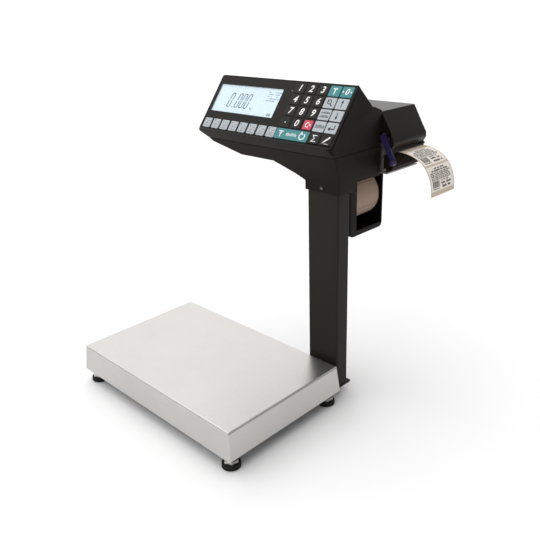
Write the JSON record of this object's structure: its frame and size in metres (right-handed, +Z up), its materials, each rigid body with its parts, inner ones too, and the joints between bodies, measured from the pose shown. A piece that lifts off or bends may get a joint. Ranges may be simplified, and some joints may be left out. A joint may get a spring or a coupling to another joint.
{
  "type": "label printing scale",
  "caption": "Platform scale with a stainless platter, a rear post carrying a sloping keypad and display, and a thermal label printer whose strip feeds out to the side.",
  "frame": {"origin": "centre of the footprint, on the surface that the feet stand on", "axes": "+X to the right as seen by the person at the keypad, where the labels come out; +Y to the back, towards the post; +Z up"},
  "size_m": [0.4116, 0.3906, 0.4527],
  "materials": {
    "stainless": "satin",
    "zinc_steel": "satin",
    "aluminium": "satin",
    "black_steel": "satin",
    "black_plastic": "satin",
    "panel_film": "satin",
    "grey_key": "satin",
    "dark_key": "satin",
    "teal_key": "satin",
    "red_key": "satin",
    "window_glass": "gloss",
    "lcd": "satin",
    "circuit_board": "satin",
    "foot_rubber": "matte",
    "roller_rubber": "matte",
    "violet_plastic": "satin",
    "paper": "matte"
  },
  "bodies": {
    "frame": {"base_frame": "black_steel", "display_window": "window_glass", "keypad_plate": "panel_film", "label_strip": "paper", "label_tray": "black_plastic", "lcd_panel": "lcd", "load_cell": "aluminium", "lower_case": "black_plastic", "main_board": "circuit_board", "post": "black_steel", "post_bracket": "black_steel", "power_inlet": "black_plastic", "printer_chassis": "zinc_steel", "roll_box": "black_steel", "stepper_motor": "zinc_steel", "upper_case": "black_plastic"},
    "weigh_frame": {"platter_frame": "zinc_steel"},
    "platter": {"platter": "stainless"},
    "hood": {"printer_hood": "black_plastic"},
    "head": {"print_head": "aluminium"},
    "lever": {"head_lever": "violet_plastic"},
    "platen": {"platen_roller": "roller_rubber"},
    "pinion": {"motor_pinion": "zinc_steel"},
    "supply_roll": {"label_roll": "paper", "roll_spindle": "black_plastic"},
    "foot_front_left": {"foot_front_left": "foot_rubber"},
    "foot_front_right": {"foot_front_right": "foot_rubber"},
    "foot_rear_left": {"foot_rear_left": "foot_rubber"},
    "foot_rear_right": {"foot_rear_right": "foot_rubber"},
    "quick_key_1": {"quick_key_1": "grey_key"},
    "quick_key_2": {"quick_key_2": "grey_key"},
    "quick_key_3": {"quick_key_3": "grey_key"},
    "quick_key_4": {"quick_key_4": "grey_key"},
    "quick_key_5": {"quick_key_5": "grey_key"},
    "quick_key_6": {"quick_key_6": "grey_key"},
    "quick_key_7": {"quick_key_7": "grey_key"},
    "quick_key_8": {"quick_key_8": "grey_key"},
    "digit_key_0": {"digit_key_0": "dark_key"},
    "digit_key_1": {"digit_key_1": "dark_key"},
    "digit_key_2": {"digit_key_2": "dark_key"},
    "digit_key_3": {"digit_key_3": "dark_key"},
    "digit_key_4": {"digit_key_4": "dark_key"},
    "digit_key_5": {"digit_key_5": "dark_key"},
    "digit_key_6": {"digit_key_6": "dark_key"},
    "digit_key_7": {"digit_key_7": "dark_key"},
    "digit_key_8": {"digit_key_8": "dark_key"},
    "digit_key_9": {"digit_key_9": "dark_key"},
    "point_key": {"point_key": "dark_key"},
    "clear_key": {"clear_key": "red_key"},
    "tare_key": {"tare_key": "teal_key"},
    "zero_key": {"zero_key": "teal_key"},
    "search_key": {"search_key": "grey_key"},
    "up_key": {"up_key": "grey_key"},
    "mode_key": {"mode_key": "grey_key"},
    "down_key": {"down_key": "grey_key"},
    "item_key": {"item_key": "grey_key"},
    "enter_key": {"enter_key": "grey_key"},
    "print_key": {"print_key": "teal_key"},
    "total_key": {"total_key": "dark_key"},
    "edit_key": {"edit_key": "dark_key"}
  },
  "joints": [
    {"name": "weighing_flexure", "type": "slide", "parent": "frame", "child": "weigh_frame", "axis": [0, 0, 1], "range_m": [-0.0005, 0], "stiffness_N_per_m": 300000},
    {"name": "platter_lift", "type": "slide", "parent": "weigh_frame", "child": "platter", "axis": [0, 0, 1], "range_m": [0, 0.1]},
    {"name": "hood_open", "type": "hinge", "parent": "frame", "child": "hood", "pos_m": [-0.00185, 0.15525, 0.336], "axis": [0, -1, 0], "range_deg": [0, 75]},
    {"name": "lever_lift", "type": "hinge", "parent": "frame", "child": "lever", "pos_m": [0.13765, 0.1167, 0.3795], "axis": [0, -1, 0], "range_deg": [0, 60]},
    {"name": "head_lift", "type": "hinge", "parent": "frame", "child": "head", "pos_m": [0.10215, 0.15605, 0.3765], "axis": [0, -1, 0], "range_deg": [0, 8]},
    {"name": "roll_spin", "type": "hinge", "parent": "frame", "child": "supply_roll", "pos_m": [0.04215, 0.16025, 0.2735], "axis": [0, 1, 0], "continuous": true},
    {"name": "platen_spin", "type": "hinge", "parent": "frame", "child": "platen", "pos_m": [0.12815, 0.15605, 0.3513], "axis": [0, 1, 0], "continuous": true},
    {"name": "pinion_spin", "type": "hinge", "parent": "frame", "child": "pinion", "pos_m": [0.11455, 0.1176, 0.3513], "axis": [0, 1, 0], "continuous": true},
    {"name": "foot_front_left_level", "type": "slide", "parent": "frame", "child": "foot_front_left", "axis": [0, 0, -1], "range_m": [0, 0.008]},
    {"name": "foot_front_right_level", "type": "slide", "parent": "frame", "child": "foot_front_right", "axis": [0, 0, -1], "range_m": [0, 0.008]},
    {"name": "foot_rear_left_level", "type": "slide", "parent": "frame", "child": "foot_rear_left", "axis": [0, 0, -1], "range_m": [0, 0.008]},
    {"name": "foot_rear_right_level", "type": "slide", "parent": "frame", "child": "foot_rear_right", "axis": [0, 0, -1], "range_m": [0, 0.008]},
    {"name": "quick_key_1_press", "type": "slide", "parent": "frame", "child": "quick_key_1", "axis": [0, 0.7923, -0.6101], "range_m": [0, 0.0006], "stiffness_N_per_m": 300},
    {"name": "quick_key_2_press", "type": "slide", "parent": "frame", "child": "quick_key_2", "axis": [0, 0.7923, -0.6101], "range_m": [0, 0.0006], "stiffness_N_per_m": 300},
    {"name": "quick_key_3_press", "type": "slide", "parent": "frame", "child": "quick_key_3", "axis": [0, 0.7923, -0.6101], "range_m": [0, 0.0006], "stiffness_N_per_m": 300},
    {"name": "quick_key_4_press", "type": "slide", "parent": "frame", "child": "quick_key_4", "axis": [0, 0.7923, -0.6101], "range_m": [0, 0.0006], "stiffness_N_per_m": 300},
    {"name": "quick_key_5_press", "type": "slide", "parent": "frame", "child": "quick_key_5", "axis": [0, 0.7923, -0.6101], "range_m": [0, 0.0006], "stiffness_N_per_m": 300},
    {"name": "quick_key_6_press", "type": "slide", "parent": "frame", "child": "quick_key_6", "axis": [0, 0.7923, -0.6101], "range_m": [0, 0.0006], "stiffness_N_per_m": 300},
    {"name": "quick_key_7_press", "type": "slide", "parent": "frame", "child": "quick_key_7", "axis": [0, 0.7923, -0.6101], "range_m": [0, 0.0006], "stiffness_N_per_m": 300},
    {"name": "quick_key_8_press", "type": "slide", "parent": "frame", "child": "quick_key_8", "axis": [0, 0.7923, -0.6101], "range_m": [0, 0.0006], "stiffness_N_per_m": 300},
    {"name": "digit_key_0_press", "type": "slide", "parent": "frame", "child": "digit_key_0", "axis": [0, 0.7923, -0.6101], "range_m": [0, 0.0006], "stiffness_N_per_m": 300},
    {"name": "digit_key_1_press", "type": "slide", "parent": "frame", "child": "digit_key_1", "axis": [0, 0.7923, -0.6101], "range_m": [0, 0.0006], "stiffness_N_per_m": 300},
    {"name": "digit_key_2_press", "type": "slide", "parent": "frame", "child": "digit_key_2", "axis": [0, 0.7923, -0.6101], "range_m": [0, 0.0006], "stiffness_N_per_m": 300},
    {"name": "digit_key_3_press", "type": "slide", "parent": "frame", "child": "digit_key_3", "axis": [0, 0.7923, -0.6101], "range_m": [0, 0.0006], "stiffness_N_per_m": 300},
    {"name": "digit_key_4_press", "type": "slide", "parent": "frame", "child": "digit_key_4", "axis": [0, 0.7923, -0.6101], "range_m": [0, 0.0006], "stiffness_N_per_m": 300},
    {"name": "digit_key_5_press", "type": "slide", "parent": "frame", "child": "digit_key_5", "axis": [0, 0.7923, -0.6101], "range_m": [0, 0.0006], "stiffness_N_per_m": 300},
    {"name": "digit_key_6_press", "type": "slide", "parent": "frame", "child": "digit_key_6", "axis": [0, 0.7923, -0.6101], "range_m": [0, 0.0006], "stiffness_N_per_m": 300},
    {"name": "digit_key_7_press", "type": "slide", "parent": "frame", "child": "digit_key_7", "axis": [0, 0.7923, -0.6101], "range_m": [0, 0.0006], "stiffness_N_per_m": 300},
    {"name": "digit_key_8_press", "type": "slide", "parent": "frame", "child": "digit_key_8", "axis": [0, 0.7923, -0.6101], "range_m": [0, 0.0006], "stiffness_N_per_m": 300},
    {"name": "digit_key_9_press", "type": "slide", "parent": "frame", "child": "digit_key_9", "axis": [0, 0.7923, -0.6101], "range_m": [0, 0.0006], "stiffness_N_per_m": 300},
    {"name": "point_key_press", "type": "slide", "parent": "frame", "child": "point_key", "axis": [0, 0.7923, -0.6101], "range_m": [0, 0.0006], "stiffness_N_per_m": 300},
    {"name": "clear_key_press", "type": "slide", "parent": "frame", "child": "clear_key", "axis": [0, 0.7923, -0.6101], "range_m": [0, 0.0006], "stiffness_N_per_m": 300},
    {"name": "tare_key_press", "type": "slide", "parent": "frame", "child": "tare_key", "axis": [0, 0.7923, -0.6101], "range_m": [0, 0.0006], "stiffness_N_per_m": 300},
    {"name": "zero_key_press", "type": "slide", "parent": "frame", "child": "zero_key", "axis": [0, 0.7923, -0.6101], "range_m": [0, 0.0006], "stiffness_N_per_m": 300},
    {"name": "search_key_press", "type": "slide", "parent": "frame", "child": "search_key", "axis": [0, 0.7923, -0.6101], "range_m": [0, 0.0006], "stiffness_N_per_m": 300},
    {"name": "up_key_press", "type": "slide", "parent": "frame", "child": "up_key", "axis": [0, 0.7923, -0.6101], "range_m": [0, 0.0006], "stiffness_N_per_m": 300},
    {"name": "mode_key_press", "type": "slide", "parent": "frame", "child": "mode_key", "axis": [0, 0.7923, -0.6101], "range_m": [0, 0.0006], "stiffness_N_per_m": 300},
    {"name": "down_key_press", "type": "slide", "parent": "frame", "child": "down_key", "axis": [0, 0.7923, -0.6101], "range_m": [0, 0.0006], "stiffness_N_per_m": 300},
    {"name": "item_key_press", "type": "slide", "parent": "frame", "child": "item_key", "axis": [0, 0.7923, -0.6101], "range_m": [0, 0.0006], "stiffness_N_per_m": 300},
    {"name": "enter_key_press", "type": "slide", "parent": "frame", "child": "enter_key", "axis": [0, 0.7923, -0.6101], "range_m": [0, 0.0006], "stiffness_N_per_m": 300},
    {"name": "print_key_press", "type": "slide", "parent": "frame", "child": "print_key", "axis": [0, 0.7923, -0.6101], "range_m": [0, 0.0006], "stiffness_N_per_m": 300},
    {"name": "total_key_press", "type": "slide", "parent": "frame", "child": "total_key", "axis": [0, 0.7923, -0.6101], "range_m": [0, 0.0006], "stiffness_N_per_m": 300},
    {"name": "edit_key_press", "type": "slide", "parent": "frame", "child": "edit_key", "axis": [0, 0.7923, -0.6101], "range_m": [0, 0.0006], "stiffness_N_per_m": 300}
  ],
  "couplings": [
    {"joint": "head_lift", "follows": "lever_lift", "ratio": 0.1333},
    {"joint": "roll_spin", "follows": "platen_spin", "ratio": 0.18919},
    {"joint": "pinion_spin", "follows": "platen_spin", "ratio": -1.4286}
  ]
}
